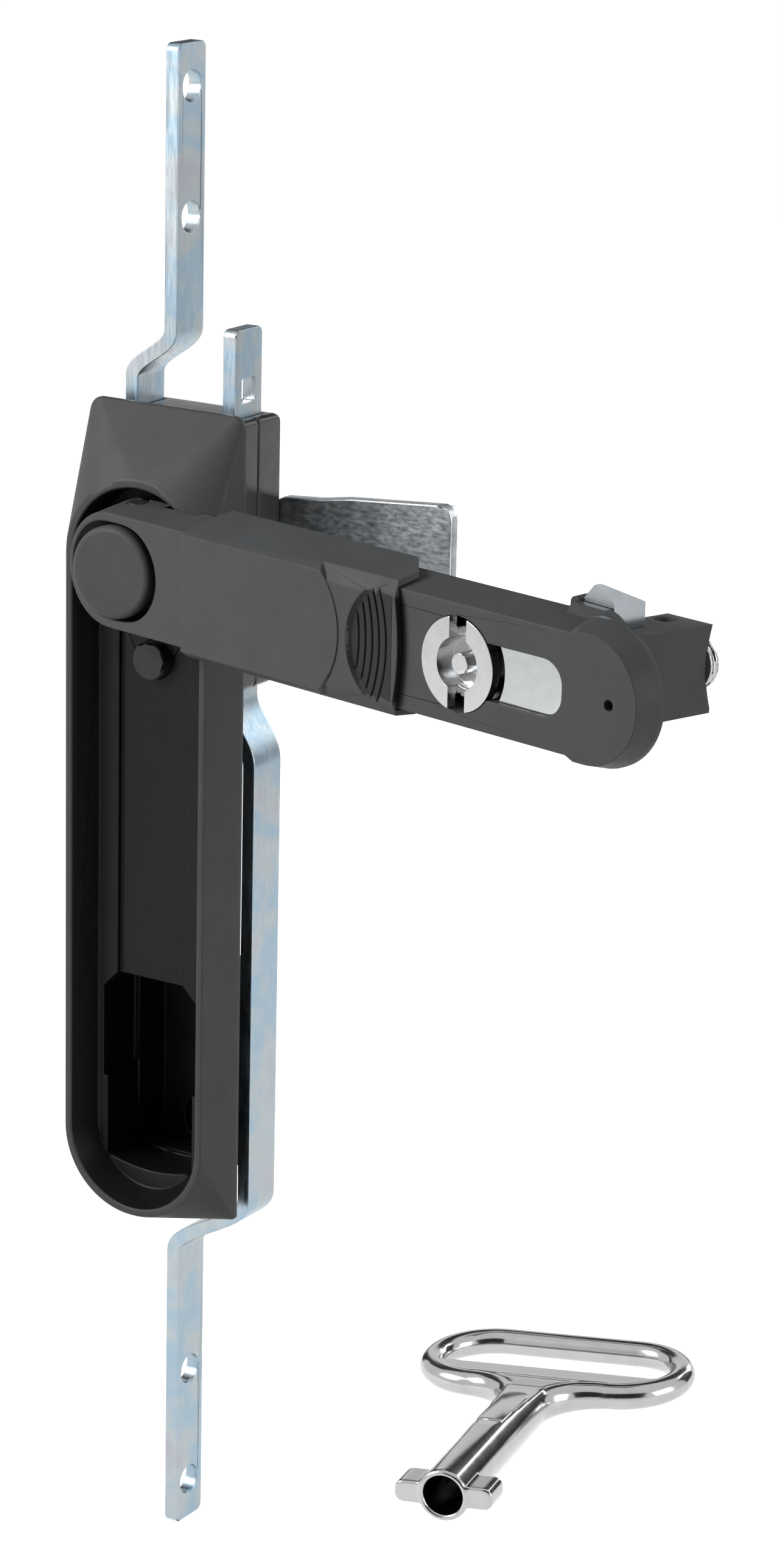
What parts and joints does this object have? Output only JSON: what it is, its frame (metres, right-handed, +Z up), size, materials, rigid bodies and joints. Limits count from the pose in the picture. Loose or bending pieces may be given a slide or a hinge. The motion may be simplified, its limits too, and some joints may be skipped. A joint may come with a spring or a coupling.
{
  "type": "cabinet handle lock",
  "caption": "Swing-handle rod lock: a dish for the door, a lift-and-turn lever with a keyed insert, a gear case that drives flat rods both ways, a cam tongue and a loose key.",
  "frame": {"origin": "on the spindle axis, in the plane of the door's front face", "axes": "+X to the right seen from the front, +Y back through the door along the spindle, +Z up"},
  "size_m": [0.1678, 0.1446, 0.299],
  "materials": {
    "black_nylon": "fine-textured black glass-filled nylon",
    "black_zinc": "black powder coat on die-cast zinc",
    "black_rubber": "soft black rubber",
    "zinc_steel": "blue-passivated zinc on steel, mottled blue and violet",
    "cast_zinc": "satin die-cast zinc",
    "bright_chrome": "bright chrome",
    "pale_acetal": "smooth pale acetal"
  },
  "bodies": {
    "mounting": {"base_dish": "black_nylon", "door_gasket": "black_rubber", "rest_bumper": "black_rubber", "gear_case_front": "black_nylon", "gear_case_rear": "black_nylon", "case_screws": "zinc_steel"},
    "handle": {"spindle": "cast_zinc", "pivot_cap": "black_zinc", "hinge_pin": "zinc_steel", "thrust_washer": "pale_acetal", "pinion": "cast_zinc", "cam_tongue": "zinc_steel", "tongue_washer": "zinc_steel", "tongue_screw": "zinc_steel"},
    "lever": {"lever_body": "black_zinc", "end_cap": "black_zinc", "lock_block": "black_zinc", "cylinder_body": "bright_chrome", "bolt_spring": "zinc_steel", "fixing_screw": "zinc_steel", "lock_nose": "bright_chrome"},
    "cover": {"slide_cover": "black_zinc"},
    "rotor": {"lock_rotor": "bright_chrome", "rotor_cam": "cast_zinc"},
    "bolt": {"latch_bolt": "cast_zinc"},
    "upper_rod": {"upper_rod": "zinc_steel"},
    "lower_rod": {"lower_rod": "zinc_steel"},
    "key": {"key": "bright_chrome"}
  },
  "joints": [
    {"name": "handle_turn", "type": "hinge", "parent": "mounting", "child": "handle", "pos_m": [0, 0, 0], "axis": [0, 1, 0], "range_deg": [0, 90]},
    {"name": "lever_lift", "type": "hinge", "parent": "handle", "child": "lever", "pos_m": [0, -0.01, 0], "axis": [0, 0, -1], "range_deg": [0, 6]},
    {"name": "cover_slide", "type": "slide", "parent": "lever", "child": "cover", "axis": [0.9763, -0.2164, 0], "range_m": [0, 0.031]},
    {"name": "rotor_turn", "type": "hinge", "parent": "lever", "child": "rotor", "pos_m": [0.08836, -0.02959, 0], "axis": [0.2164, 0.9763, 0], "range_deg": [0, 90]},
    {"name": "bolt_slide", "type": "slide", "parent": "lever", "child": "bolt", "axis": [0, 0, -1], "range_m": [0, 0.0045], "deforming": ["bolt_spring"]},
    {"name": "upper_rod_slide", "type": "slide", "parent": "mounting", "child": "upper_rod", "axis": [0, 0, 1], "range_m": [0, 0.01544]},
    {"name": "lower_rod_slide", "type": "slide", "parent": "mounting", "child": "lower_rod", "axis": [0, 0, -1], "range_m": [0, 0.01544]},
    {"name": "key_lift", "type": "slide", "parent": "mounting", "child": "key", "axis": [0, 0, 1], "range_m": [0, 0.06]}
  ],
  "couplings": [
    {"joint": "upper_rod_slide", "follows": "handle_turn", "m_per_rad": 0.0098},
    {"joint": "lower_rod_slide", "follows": "handle_turn", "m_per_rad": 0.0098},
    {"joint": "bolt_slide", "follows": "rotor_turn", "m_per_rad": 0.00286}
  ]
}
